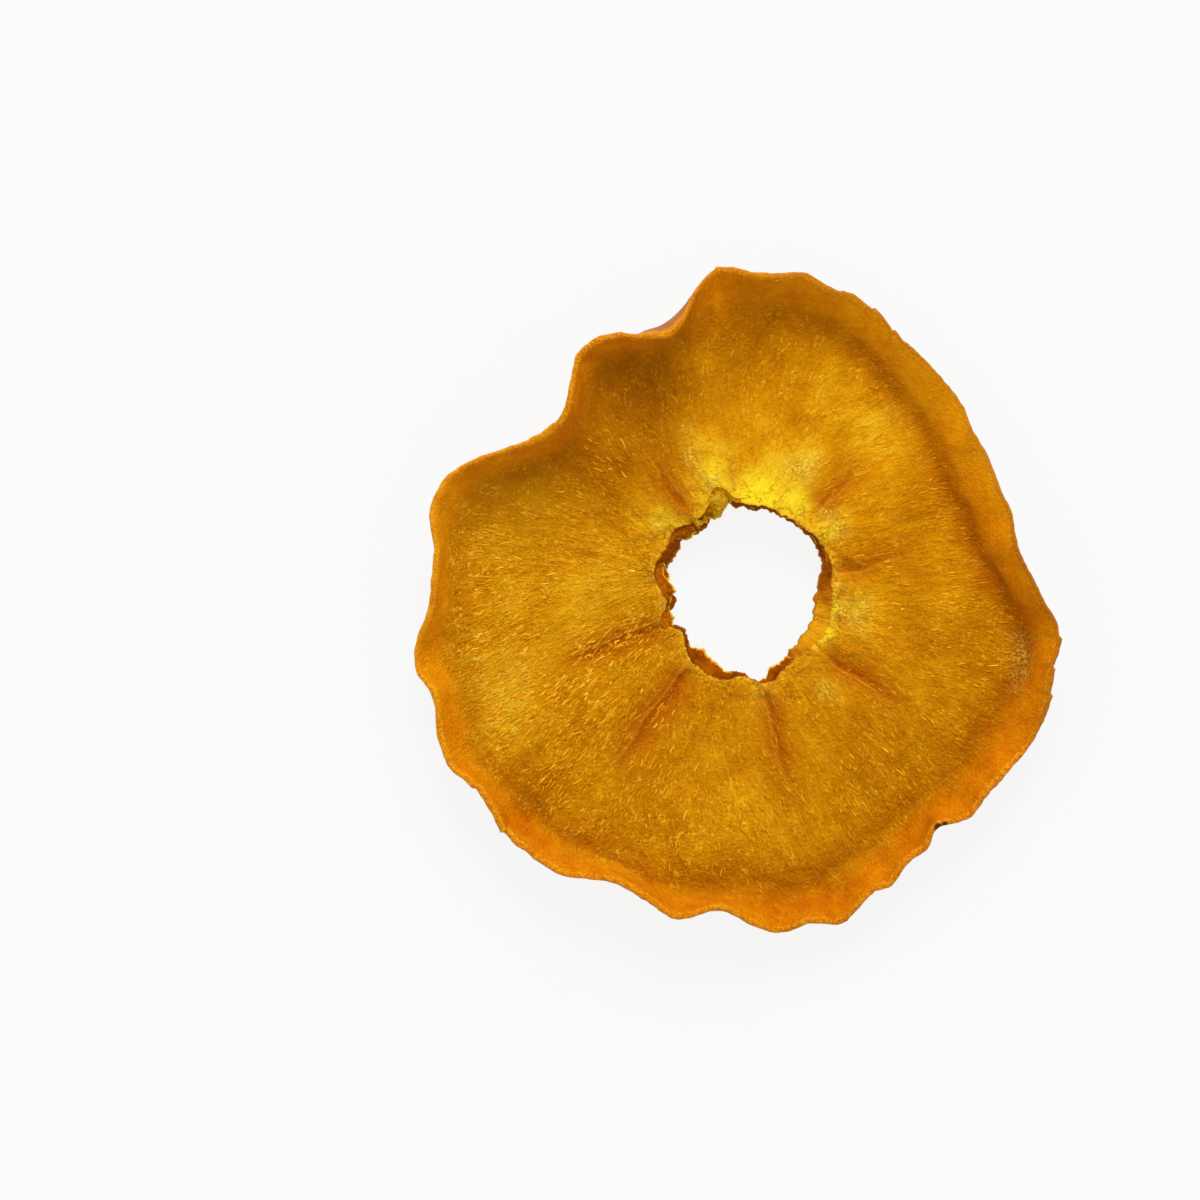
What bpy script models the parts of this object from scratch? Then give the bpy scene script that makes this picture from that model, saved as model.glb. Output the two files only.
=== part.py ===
"""A dried persimmon slice: a cored ring, cut across the fruit and dried until its skin edge curled up.

The slice is one solid. Driving dimensions are in millimetres, angles are in degrees anticlockwise
from +X, and the mesh is in metres. +Z is up. The slice lies on three low flat spots of its underside
at z = 0, and the origin is below the middle of its outline. The plan points are measured from the
middle of the core hole, which stands CORE_X, CORE_Y from the origin.
"""
from math import atan2, degrees, hypot

import bmesh
import bpy
import numpy as np

MM = 0.001

CORE_X = 0.7
CORE_Y = 0.6

# The outer edge in plan, where the curled skin ends.
LIP = (
    (28.9, 1.4), (27.5, 4.1), (26.7, 8.3), (25.6, 10.7), (24.6, 13.6), (22.9, 16.4),
    (22.2, 18.4), (19.9, 21.6), (17.7, 24.0), (15.5, 25.9), (13.9, 27.8), (11.8, 29.4),
    (8.2, 30.8), (5.9, 32.1), (4.0, 31.9), (1.5, 31.8), (-1.5, 32.6), (-2.7, 32.6),
    (-3.6, 31.7), (-5.1, 29.4), (-5.9, 27.7), (-6.8, 26.5), (-10.1, 25.6), (-13.1, 25.7),
    (-15.2, 24.9), (-16.3, 23.9), (-17.2, 20.8), (-17.5, 18.9), (-19.2, 16.4), (-20.9, 15.4),
    (-24.0, 14.3), (-29.4, 11.8), (-30.9, 9.0), (-31.1, 6.9), (-30.8, 5.2), (-31.0, 1.0),
    (-31.3, -1.4), (-32.8, -5.8), (-32.8, -7.1), (-30.9, -10.2), (-30.3, -14.7), (-29.0, -17.6),
    (-27.6, -18.5), (-25.1, -21.6), (-23.6, -24.1), (-21.7, -25.6), (-19.3, -27.4), (-12.0, -29.0),
    (-9.2, -30.7), (-6.9, -32.3), (-2.3, -31.4), (1.4, -33.2), (3.1, -33.9), (7.4, -32.8),
    (9.7, -33.1), (13.1, -29.7), (14.9, -29.1), (16.3, -27.0), (18.4, -25.3), (19.2, -23.5),
    (22.9, -22.2), (24.2, -20.3), (26.0, -18.2), (29.1, -14.7), (30.2, -12.2), (30.8, -7.8),
    (31.4, -3.3), (29.8, -0.6),
)

# The foot of the skin in plan, where the flesh ends in a groove and the skin turns up.
FOOT = (
    (25.8, 1.4), (23.9, 5.0), (22.7, 7.9), (20.8, 11.8), (19.5, 15.3), (17.6, 18.2),
    (15.3, 21.0), (11.5, 25.0), (7.6, 27.5), (4.7, 28.2), (-2.0, 27.5), (-4.6, 25.8),
    (-6.4, 24.2), (-9.3, 23.3), (-13.6, 22.7), (-15.4, 18.9), (-17.3, 14.5), (-21.9, 12.4),
    (-26.7, 9.3), (-28.6, 5.8), (-28.6, -2.9), (-28.5, -7.5), (-27.2, -12.4), (-26.3, -16.3),
    (-21.3, -21.2), (-17.8, -24.0), (-13.0, -26.5), (-8.6, -28.8), (-2.1, -29.7), (1.9, -29.3),
    (7.4, -28.8), (14.1, -24.4), (19.1, -20.0), (22.7, -16.3), (25.0, -12.2), (27.2, -9.8),
    (28.7, -7.4), (28.8, -5.0),
)

# The upper edge of the core hole in plan.
HOLE = (
    (9.1, 0.8), (9.1, 2.8), (8.1, 5.1), (5.9, 6.9), (2.6, 8.7), (-0.7, 9.4),
    (-2.7, 10.4), (-3.5, 8.8), (-5.0, 7.3), (-7.1, 6.3), (-7.5, 5.2), (-8.6, 3.5),
    (-8.9, 1.8), (-7.7, -0.9), (-8.0, -3.2), (-6.8, -3.5), (-5.3, -6.5), (-4.3, -7.5),
    (-1.7, -8.7), (0.0, -8.3), (2.1, -9.0), (5.3, -6.7), (8.8, -3.2), (9.1, -1.5),
)

# (angle, millimetres) round the ring, joined smoothly.
HOLE_FOOT_INSET = (
    (0, 1.8), (30, 0.8), (60, 0.3), (90, 0.6), (110, 1.2), (135, 1.4), (180, 1.2), (225, 0.5),
    (250, 1.1), (280, 0.2), (305, 0.9), (335, 1.9),
)
HOLE_HEIGHT = (
    (0, 4.0), (45, 4.4), (90, 5.4), (115, 4.6), (135, 3.7), (180, 3.4), (225, 3.6), (270, 3.8),
    (315, 3.9),
)
MIDDLE_HEIGHT = (
    (0, 3.3), (30, 2.8), (60, 2.1), (90, 2.7), (120, 3.0), (150, 2.9), (195, 2.1), (240, 3.2),
    (270, 3.1), (300, 2.35), (330, 3.1),
)
OUTWARD_RISE = (
    (0, 0.4), (30, 0.2), (60, 0.0), (75, 0.7), (90, 2.2), (105, 3.3), (120, 3.9), (135, 3.7),
    (150, 2.7), (175, 0.7), (195, 0.0), (240, 0.3), (270, 0.3), (300, 0.0), (330, 0.5),
)
RISE_POWER = (
    (0, 2.5), (75, 3.2), (90, 3.2), (105, 2.2), (118, 1.5), (140, 1.4), (160, 2.0), (190, 2.5),
)
FOOT_DIP = (
    (0, 0.9), (60, 0.75), (90, 0.3), (130, 0.2), (165, 0.4), (195, 0.75), (230, 1.1), (270, 1.4),
    (300, 1.3), (330, 1.3),
)
SKIN_BULGE = (
    (0, -0.3), (30, -0.5), (60, -0.5), (85, 0.0), (96, 0.6), (103, 1.5), (108, 1.2), (114, 0.5),
    (140, 0.2), (200, 0.3), (270, 0.4), (320, 0.3),
)

SKIN_WIDTH = 5.0
LIP_INSET = 0.5
LIP_ROUND = 0.25

HOLE_THICKNESS = 1.7
FLESH_THICKNESS = 1.9
FOOT_THICKNESS = 1.6
LIP_THICKNESS = 0.75

# The seed chambers show as shallow radial grooves: (angle, inner radius, outer radius, depth).
CHAMBERS = (
    (14, 10.0, 18.6, 0.30),
    (48, 11.5, 18.6, 0.35),
    (95, 11.5, 16.0, 0.20),
    (124, 10.0, 17.7, 0.40),
    (166, 15.0, 20.5, 0.20),
    (201, 8.6, 20.6, 0.45),
    (234, 9.3, 22.5, 0.45),
    (284, 10.0, 21.0, 0.35),
    (325, 10.5, 20.8, 0.40),
)
CHAMBER_HALF_WIDTH = 1.1

AROUND = 144
SKIN_STEPS = np.array((1.0, 0.75, 0.5, 0.25))
FLESH_STEPS = np.array((1.0, 0.93, 0.84, 0.72, 0.58, 0.44, 0.30, 0.18, 0.08, 0.0))


def remove_everything():
    for item in list(bpy.data.objects):
        bpy.data.objects.remove(item, do_unlink=True)


def to_polar(plan):
    """The (angle, radius) points of a plan outline about the core hole."""
    return [(degrees(atan2(y, x)) % 360, hypot(x, y)) for x, y in plan]


def around(points, angle):
    """The value at each angle of a smooth closed curve through (angle, value) points."""
    at, value = np.array(sorted(points), float).T
    at = np.concatenate((at[-2:] - 360, at, at[:2] + 360))
    value = np.concatenate((value[-2:], value, value[:2]))
    step = np.diff(at)
    slope = np.diff(value) / step
    tangent = (slope[:-1] * step[1:] + slope[1:] * step[:-1]) / (step[:-1] + step[1:])
    start = np.clip(np.searchsorted(at, angle, side="right") - 1, 1, len(at) - 3)
    length = step[start]
    t = (angle - at[start]) / length
    return (
        value[start] * (1 + 2 * t) * (1 - t) ** 2
        + tangent[start - 1] * length * t * (1 - t) ** 2
        + value[start + 1] * (3 - 2 * t) * t**2
        + tangent[start] * length * t**2 * (t - 1)
    )


def smooth_step(low, high, value):
    t = np.clip((value - low) / (high - low), 0, 1)
    return t * t * (3 - 2 * t)


def chamber_depth(angle, radius):
    """How far the seed chambers sink the top of the flesh."""
    depth = np.zeros_like(radius)
    for middle, inner, outer, deep in CHAMBERS:
        off = np.radians((angle - middle + 180) % 360 - 180)
        across = radius * np.sin(np.clip(off, -np.pi / 2, np.pi / 2))
        along = smooth_step(inner - 1.5, inner + 0.5, radius) * (1 - smooth_step(outer - 3, outer + 1, radius))
        depth += deep * along * np.exp(-((across / CHAMBER_HALF_WIDTH) ** 2))
    return depth


def upper_line(angle):
    """Radius and height of the upper side in each section, from the lip in to the core hole.

    The flesh stands up round the hole, dips to a groove at its outer end and rises with the ring's
    own cup shape. The skin goes on from that groove, up and out, as far as its true width allows.
    """
    hole = around(to_polar(HOLE), angle)
    foot = around(to_polar(FOOT), angle)
    lip = around(to_polar(LIP), angle) - LIP_INSET
    middle = around(MIDDLE_HEIGHT, angle)
    out = FLESH_STEPS
    flesh_radius = hole + (foot - hole) * out
    flesh_height = (
        middle
        + (around(HOLE_HEIGHT, angle) - middle) * (1 - out) ** 3
        + around(OUTWARD_RISE, angle) * out ** around(RISE_POWER, angle)
        - around(FOOT_DIP, angle) * out**6
    )
    width = lip - foot
    skin_radius = foot + width * SKIN_STEPS + around(SKIN_BULGE, angle) * np.sin(np.pi * SKIN_STEPS)
    skin_rise = np.sqrt(np.maximum(SKIN_WIDTH**2 - width**2, 1.0))
    skin_height = flesh_height[:, :1] + skin_rise * SKIN_STEPS
    return np.hstack((skin_radius, flesh_radius)), np.hstack((skin_height, flesh_height))


def thickness():
    """The thickness at each point of the upper line."""
    skin = FOOT_THICKNESS + (LIP_THICKNESS - FOOT_THICKNESS) * SKIN_STEPS
    flesh = np.interp(FLESH_STEPS, (0, 0.5, 1), (HOLE_THICKNESS, FLESH_THICKNESS, FOOT_THICKNESS))
    return np.concatenate((skin, flesh))


def lower_line(radius, height):
    """The underside: the upper line moved square to itself by the thickness, and cut flat at z = 0."""
    along_r = np.diff(radius, axis=1)
    along_z = np.diff(height, axis=1)
    length = np.hypot(along_r, along_z)
    unit_r = np.pad(along_r / length, ((0, 0), (1, 1)), mode="edge")
    unit_z = np.pad(along_z / length, ((0, 0), (1, 1)), mode="edge")
    turn_r = unit_r[:, :-1] + unit_r[:, 1:]
    turn_z = unit_z[:, :-1] + unit_z[:, 1:]
    turn = np.hypot(turn_r, turn_z)
    thick = thickness()
    return radius - thick * turn_z / turn, np.maximum(height + thick * turn_r / turn, 0)


def ring_sections():
    """Radius and height of every section's points, anticlockwise from the rounded tip of the lip."""
    angle = (np.arange(AROUND) * 360 / AROUND)[:, None]
    radius, height = upper_line(angle)
    low_radius, low_height = lower_line(radius, height)
    low_radius[:, -1:] = radius[:, -1:] - around(HOLE_FOOT_INSET, angle)
    low_height[:, -1:] = height[:, -1:] - HOLE_THICKNESS
    run = np.hypot(radius[:, :1] - radius[:, 1:2], height[:, :1] - height[:, 1:2])
    tip_radius = (radius[:, :1] + low_radius[:, :1]) / 2 + LIP_ROUND * (radius[:, :1] - radius[:, 1:2]) / run
    tip_height = (height[:, :1] + low_height[:, :1]) / 2 + LIP_ROUND * (height[:, :1] - height[:, 1:2]) / run
    wall_radius = radius[:, -1:] * 0.6 + low_radius[:, -1:] * 0.4
    wall_height = height[:, -1:] * 0.45 + low_height[:, -1:] * 0.55
    height = height - chamber_depth(angle, radius)
    return (
        angle,
        np.hstack((tip_radius, radius, wall_radius, low_radius[:, ::-1])),
        np.hstack((tip_height, height, wall_height, low_height[:, ::-1])),
    )


def split_faces(mesh, points, last_upper):
    """Split every quad on the same slant in plan on both sides, so that the thin sheet stays apart."""
    shape = bmesh.new()
    shape.from_mesh(mesh)
    upper = [face for face in shape.faces if all(v.index % points <= last_upper for v in face.verts)]
    lower = [face for face in shape.faces if any(v.index % points > last_upper for v in face.verts)]
    bmesh.ops.triangulate(shape, faces=upper, quad_method="FIXED")
    bmesh.ops.triangulate(shape, faces=lower, quad_method="ALTERNATE")
    shape.to_mesh(mesh)
    shape.free()


def make_slice(material, collection):
    """A torus whose sections are moved to the slice's own."""
    angle, radius, height = ring_sections()
    points = radius.shape[1]
    bpy.ops.mesh.primitive_torus_add(
        major_segments=AROUND, minor_segments=points, major_radius=20 * MM, minor_radius=8 * MM
    )
    piece = bpy.context.object
    piece.name = piece.data.name = "slice"
    turn = np.radians(angle)
    place = np.stack(
        (CORE_X + radius * np.cos(turn), CORE_Y + radius * np.sin(turn), height), axis=-1
    )
    piece.data.vertices.foreach_set("co", (place * MM).astype(np.float32).ravel())
    split_faces(piece.data, points, last_upper=1 + len(SKIN_STEPS) + len(FLESH_STEPS))
    piece.data.shade_smooth()
    piece.data.materials.clear()
    piece.data.materials.append(material)
    for old in list(piece.users_collection):
        old.objects.unlink(piece)
    collection.objects.link(piece)


def flesh_material():
    material = bpy.data.materials.new("dried flesh")
    material.use_nodes = True
    surface = material.node_tree.nodes["Principled BSDF"]
    surface.inputs["Base Color"].default_value = (0.60, 0.26, 0.01, 1.0)
    surface.inputs["Roughness"].default_value = 0.45
    surface.inputs["Metallic"].default_value = 0.0
    return material


def main():
    remove_everything()
    collection = bpy.data.collections.new("persimmon slice")
    bpy.context.scene.collection.children.link(collection)
    make_slice(flesh_material(), collection)


main()
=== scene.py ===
"""The looks of a dried persimmon slice: fibrous amber flesh inside a skin edge that curled up as it dried.

Lengths are millimetres and angles are degrees, and a mesh gets metres when it is made. Plan places are
measured from the middle of the core hole, as in the part. One closed surface carries the flesh, the
skin and the wall of the hole. Loose fibres, torn membranes and crumbs are pieces of their own on it.
"""

import bpy
import numpy as np
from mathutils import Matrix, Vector


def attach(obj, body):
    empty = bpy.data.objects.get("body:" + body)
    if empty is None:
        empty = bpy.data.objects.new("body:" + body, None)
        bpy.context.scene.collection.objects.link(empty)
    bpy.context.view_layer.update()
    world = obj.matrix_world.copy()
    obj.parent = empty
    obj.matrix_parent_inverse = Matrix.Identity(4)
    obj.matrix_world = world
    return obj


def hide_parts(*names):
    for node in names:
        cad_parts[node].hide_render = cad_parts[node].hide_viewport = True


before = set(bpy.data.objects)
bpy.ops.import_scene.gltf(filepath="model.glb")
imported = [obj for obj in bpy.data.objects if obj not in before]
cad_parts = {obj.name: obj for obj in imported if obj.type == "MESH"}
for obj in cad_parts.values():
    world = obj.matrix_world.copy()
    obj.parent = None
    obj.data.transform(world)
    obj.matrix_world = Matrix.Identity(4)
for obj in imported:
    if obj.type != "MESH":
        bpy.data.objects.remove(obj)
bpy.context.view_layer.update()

MM = 0.001
CORE = np.array((0.7, 0.6, 0.0))

# The slice's own shape, with the values of the part. Only the skin's bulge at the notch is a little more.
LIP = (
    (28.9, 1.4), (27.5, 4.1), (26.7, 8.3), (25.6, 10.7), (24.6, 13.6), (22.9, 16.4),
    (22.2, 18.4), (19.9, 21.6), (17.7, 24), (15.5, 25.9), (13.9, 27.8), (11.8, 29.4),
    (8.2, 30.8), (5.9, 32.1), (4, 31.9), (1.5, 31.8), (-1.5, 32.6), (-2.7, 32.6),
    (-3.6, 31.7), (-5.1, 29.4), (-5.9, 27.7), (-6.8, 26.5), (-10.1, 25.6), (-13.1, 25.7),
    (-15.2, 24.9), (-16.3, 23.9), (-17.2, 20.8), (-17.5, 18.9), (-19.2, 16.4), (-20.9, 15.4),
    (-24, 14.3), (-29.4, 11.8), (-30.9, 9), (-31.1, 6.9), (-30.8, 5.2), (-31, 1),
    (-31.3, -1.4), (-32.8, -5.8), (-32.8, -7.1), (-30.9, -10.2), (-30.3, -14.7), (-29, -17.6),
    (-27.6, -18.5), (-25.1, -21.6), (-23.6, -24.1), (-21.7, -25.6), (-19.3, -27.4), (-12, -29),
    (-9.2, -30.7), (-6.9, -32.3), (-2.3, -31.4), (1.4, -33.2), (3.1, -33.9), (7.4, -32.8),
    (9.7, -33.1), (13.1, -29.7), (14.9, -29.1), (16.3, -27), (18.4, -25.3), (19.2, -23.5),
    (22.9, -22.2), (24.2, -20.3), (26, -18.2), (29.1, -14.7), (30.2, -12.2), (30.8, -7.8),
    (31.4, -3.3), (29.8, -0.6),
)
FOOT = (
    (25.8, 1.4), (23.9, 5), (22.7, 7.9), (20.8, 11.8), (19.5, 15.3), (17.6, 18.2),
    (15.3, 21), (11.5, 25), (7.6, 27.5), (4.7, 28.2), (-2, 27.5), (-4.6, 25.8),
    (-6.4, 24.2), (-9.3, 23.3), (-13.6, 22.7), (-15.4, 18.9), (-17.3, 14.5), (-21.9, 12.4),
    (-26.7, 9.3), (-28.6, 5.8), (-28.6, -2.9), (-28.5, -7.5), (-27.2, -12.4), (-26.3, -16.3),
    (-21.3, -21.2), (-17.8, -24), (-13, -26.5), (-8.6, -28.8), (-2.1, -29.7), (1.9, -29.3),
    (7.4, -28.8), (14.1, -24.4), (19.1, -20), (22.7, -16.3), (25, -12.2), (27.2, -9.8),
    (28.7, -7.4), (28.8, -5),
)
HOLE = (
    (9.1, 0.8), (9.1, 2.8), (8.1, 5.1), (5.9, 6.9), (2.6, 8.7), (-0.7, 9.4),
    (-2.7, 10.4), (-3.5, 8.8), (-5, 7.3), (-7.1, 6.3), (-7.5, 5.2), (-8.6, 3.5),
    (-8.9, 1.8), (-7.7, -0.9), (-8, -3.2), (-6.8, -3.5), (-5.3, -6.5), (-4.3, -7.5),
    (-1.7, -8.7), (0, -8.3), (2.1, -9), (5.3, -6.7), (8.8, -3.2), (9.1, -1.5),
)
HOLE_FOOT_INSET = (
    (0, 1.8), (30, 0.8), (60, 0.3), (90, 0.6), (110, 1.2), (135, 1.4), (180, 1.2), (225, 0.5),
    (250, 1.1), (280, 0.2), (305, 0.9), (335, 1.9),
)
HOLE_HEIGHT = (
    (0, 4), (45, 4.4), (90, 5.4), (115, 4.6), (135, 3.7), (180, 3.4), (225, 3.6), (270, 3.8),
    (315, 3.9),
)
MIDDLE_HEIGHT = (
    (0, 3.3), (30, 2.8), (60, 2.1), (90, 2.7), (120, 3), (150, 2.9), (195, 2.1), (240, 3.2),
    (270, 3.1), (300, 2.35), (330, 3.1),
)
OUTWARD_RISE = (
    (0, 0.4), (30, 0.2), (60, 0), (75, 0.7), (90, 2.2), (105, 3.3), (120, 3.9), (135, 3.7),
    (150, 2.7), (175, 0.7), (195, 0), (240, 0.3), (270, 0.3), (300, 0), (330, 0.5),
)
RISE_POWER = (
    (0, 2.5), (75, 3.2), (90, 3.2), (105, 2.2), (118, 1.5), (140, 1.4), (160, 2), (190, 2.5),
)
FOOT_DIP = (
    (0, 0.9), (60, 0.75), (90, 0.3), (130, 0.2), (165, 0.4), (195, 0.75), (230, 1.1), (270, 1.4),
    (300, 1.3), (330, 1.3),
)
SKIN_BULGE = (
    (0, -0.3), (30, -0.5), (60, -0.5), (85, 0), (96, 0.9), (103, 2.1), (108, 1.7), (114, 0.7),
    (140, 0.2), (200, 0.3), (270, 0.4), (320, 0.3),
)
SKIN_WIDTH = 5.0
LIP_INSET = 0.5
HOLE_THICKNESS = 1.7
FLESH_THICKNESS = 1.9
FOOT_THICKNESS = 1.6
LIP_THICKNESS = 0.75

# The seed chambers: (angle, inner radius, outer radius, depth).
CHAMBERS = (
    (14, 10, 18.6, 0.3),
    (48, 11.5, 18.6, 0.35),
    (95, 11.5, 16, 0.2),
    (124, 10, 17.7, 0.4),
    (166, 15, 20.5, 0.2),
    (201, 8.6, 20.6, 0.45),
    (234, 9.3, 22.5, 0.45),
    (284, 10, 21, 0.35),
    (325, 10.5, 20.8, 0.4),
)
CHAMBER_HALF_WIDTH = 1.1
CREASE_HALF_WIDTH = 0.35
THREAD_HALF_WIDTH = 0.14
THREAD_ASIDE = 0.5

# How many degrees the fibres lean anticlockwise from the spoke that they lie on, by angle.
FIBRE_LEAN = (
    (0, 2), (30, -12), (52, -20), (75, -6), (100, 0), (140, 2), (167, 9), (187, 20), (211, 11),
    (242, 1), (264, 12), (277, 16), (300, 6), (327, -3),
)

# Painted glow: places where the flesh is painted lighter and yellower, for light that comes through the
# thin flesh: (x, y, radius, strength).
GLOWS = (
    (1.5, 10, 3.4, 1), (5.2, 9.4, 2.6, 0.9), (-2.6, 12.2, 2.8, 0.8), (3.6, 12.6, 3.2, 0.6),
    (-4, 15.2, 2.3, 0.5), (6.6, 13.6, 2, 0.6), (8.6, 6.4, 1.9, 0.7), (10.2, 7.6, 1.6, 0.5),
    (8.6, -1.4, 1.5, 1), (8.2, -3.8, 1.5, 0.9), (-7.8, 7.8, 2.3, 0.7), (-10, 8.8, 2.2, 0.4),
    (-4.4, 9.6, 1.7, 0.6), (14.6, 16.4, 4.5, 0.45), (-9.6, -2.4, 2.5, 0.3), (-23.5, -10.6, 4.5, 0.52),
    (1, 17, 4, 0.3), (9.4, -9.2, 2.2, 0.3), (-2, -24, 4, 0.15), (-25, -1, 4, 0.2),
    (-15, 3, 6, 0.2), (10, 22, 4, 0.2), (12, -20, 5, 0.15), (2, 20, 4, 0.2),
    (-6, 10.4, 2, 0.6), (-2, 14.2, 2.4, 0.6), (-18, -6, 3, 0.3), (2, -10.4, 1.4, 0.5),
    (12, -1.8, 2.6, 0.5), (-26, 6, 3, 0.3),
)
# Painted shade: places where the flesh and the skin are painted darker.
SHADES = (
    (-10.3, 18.4, 6, 0.65), (-14.3, 13.2, 5, 0.5), (-6.6, 17.6, 2.5, 0.35), (-3, 26, 4, 0.3),
    (-10, -11, 2.5, 0.4), (4, -18, 3.5, 0.35), (5.6, -30.4, 2.6, 0.5), (-22, -22.6, 2.5, 0.6),
    (1.7, 24.4, 6, 0.3), (10.7, 22.4, 4, 0.2),
    (-16.3, -17.6, 5, 0.3), (-1.3, -27.4, 4, 0.3), (13.7, -17.6, 6, 0.35),
    (18.7, -4.6, 6, 0.25), (15.7, 3.4, 4, 0.25), (18.7, -22.8, 0.6, 1),
)
# Places with a dry whitish bloom.
BLOOMS = (
    (6.2, 12.4, 1, 0.8), (7.2, 13.6, 0.7, 0.6), (4.6, 13.2, 0.6, 0.5), (10.4, -1.8, 1, 0.8),
    (12, -1.2, 0.8, 0.6), (11.6, -3.2, 0.9, 0.5), (28, -4.6, 0.9, 0.4), (28.1, -6.3, 1, 0.5),
    (27.9, -8.2, 0.9, 0.4), (27.4, -9.6, 0.7, 0.3), (-3, 11.2, 0.7, 0.8), (-4.4, 12.2, 0.6, 0.6),
    (8.2, -9.8, 0.8, 0.5), (9.6, 6.4, 0.8, 0.7), (8.6, 8.2, 0.7, 0.6), (-5.2, 13.8, 0.8, 0.6),
    (-8.4, 6.8, 0.6, 0.5), (-5.6, 16.4, 0.8, 0.3), (9.8, 0.8, 0.6, 0.4),
)
# Painted shade: how dark the flesh is painted in the groove along the skin's foot, by angle.
FOOT_SHADE_TONE = (
    (0, 0.85), (20, 0.85), (40, 0.7), (65, 0.55), (90, 0.4), (140, 0.4), (180, 0.35), (220, 0.4),
    (260, 0.5), (300, 0.45), (330, 0.6),
)
# Painted light and shade on the wall of the hole, by angle: how much darker it is painted, lighter below 0.
WALL_LIGHT_AND_SHADE = (
    (0, 0.35), (25, 0.9), (60, 1), (100, 1), (140, 0.9), (180, 0.85), (225, 1.05), (265, 1.1),
    (300, 0.8), (325, -0.05), (345, -0.1),
)
# Painted light and shade on the skin, by angle: how much darker it is painted, lighter below 0.
SKIN_LIGHT_AND_SHADE = (
    (0, 0), (45, -0.28), (90, 0), (130, 0.05), (180, -0.12), (225, 0.08), (270, 0.12), (315, 0.16),
)
# Painted shade: how much darker the skin is painted at its lip, by angle.
LIP_SHADE_TONE = (
    (0, 0.9), (30, 0.6), (60, 0.75), (90, 0.4), (110, 0.25), (150, 0.1), (190, 0), (225, 0),
    (270, 0), (315, 0), (330, 0.05), (345, 0.6),
)
# How deep the crease is that wanders along the skin's foot, by angle. The crease is also painted darker, as
# painted shade.
FOLD = (
    (0, 0.5), (20, 0.6), (45, 0.2), (90, 0), (150, 0), (205, 0.1), (225, 0.5), (245, 0.6),
    (262, 0.2), (280, 0.5), (300, 0.3), (330, 0.25),
)
# The painted shadow in the fold where the lip overlaps itself: (x, y, radius, strength).
LIP_FOLD_SHADOWS = ((19.5, -23.3, 0.5, 1), (20.2, -23, 0.4, 0.9))
# How strongly the fibres show their comb and their relief, and how strong the painted highlights of their
# glints are, by angle.
SHEEN = (
    (0, 0.4), (40, 0.35), (60, 0.45), (90, 0.35), (120, 0.25), (145, 0.4), (165, 1), (190, 1.4),
    (208, 1.35), (225, 0.8), (260, 0.5), (300, 0.45), (330, 0.4),
)

# The ragged plan outline that the torn membranes in the core hole reach.
TORN_EDGE = (
    (7.9, 1), (8.5, 2.4), (7.9, 4.5), (6.7, 6), (5.2, 7.2), (3.1, 8.1), (1, 8.7), (-0.7, 9),
    (-2.1, 8.1), (-2.9, 7.4), (-3.7, 6.8), (-4.8, 6.1), (-5.6, 5.4), (-6.5, 5.4), (-7.2, 5.2),
    (-7.8, 4), (-7.7, 2.4), (-7.3, 1.2), (-6.8, 0.2), (-7.1, -1.2), (-6.9, -2.5), (-6.5, -3.8),
    (-5.4, -4.9), (-4.1, -5.6), (-2.5, -6.9), (-1.2, -7.7), (0.5, -8.2), (1.7, -8.7), (2.7, -7.5),
    (3.7, -6.8), (5.2, -6.2), (5.9, -4.9), (6.4, -3.7), (6.9, -1.3),
)
# The membranes: (first angle, last angle, drop below the torn edge, sag, olive).
SHREDS = (
    (91, 126, 0.1, 0.7, 1),
    (113, 152, 0.75, 0.5, 0.2),
    (143, 196, 0.45, 0.6, 0.1),
    (152, 182, 1.1, 0.2, 0),
    (184, 218, 0.5, 0.5, 0.1),
    (211, 274, 0.6, 0.4, 0),
    (268, 318, 0.8, 0.4, 0),
    (12, 99, 0.9, 0.2, 0),
)

AROUND = 768
SKIN_POINTS = 20
FLESH_POINTS = 72
WALL_POINTS = 5
UNDER_FLESH_POINTS = 20
UNDER_SKIN_POINTS = 8
# Rounds of averaging that round off the groove at the skin's foot. The underside's points are further
# apart, so it needs fewer.
UPPER_ROUNDS = 60
UNDER_ROUNDS = 9


def to_polar(plan):
    """The (angle, radius) points of a plan outline about the core hole."""
    x, y = np.array(plan).T
    return np.stack((np.degrees(np.arctan2(y, x)) % 360, np.hypot(x, y)), axis=1)


def around(points, angle):
    """The value at each angle of a smooth closed curve through (angle, value) points: a cubic between
    each two, whose slope at a point is the mean of the slopes beside it."""
    points = np.array(points, float)
    at, value = points[np.argsort(points[:, 0])].T
    at = np.concatenate((at[-2:] - 360, at, at[:2] + 360))
    value = np.concatenate((value[-2:], value, value[:2]))
    step = np.diff(at)
    slope = np.diff(value) / step
    tangent = (slope[:-1] * step[1:] + slope[1:] * step[:-1]) / (step[:-1] + step[1:])
    angle = np.mod(angle, 360)
    start = np.clip(np.searchsorted(at, angle, side="right") - 1, 1, len(at) - 3)
    length = step[start]
    t = (angle - at[start]) / length
    return (
        value[start] * (1 + 2 * t) * (1 - t) ** 2
        + tangent[start - 1] * length * t * (1 - t) ** 2
        + value[start + 1] * (3 - 2 * t) * t**2
        + tangent[start] * length * t**2 * (t - 1)
    )


def smooth_step(low, high, value):
    t = np.clip((value - low) / (high - low), 0, 1)
    return t * t * (3 - 2 * t)


# How many bumps of noise there are before it comes again.
NOISE_SPAN = 256
# Moves the plan noise, so that the bumps of all sizes don't meet at the middle of the core hole.
PLAN_SHIFT = (97.3, 61.7)


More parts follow.
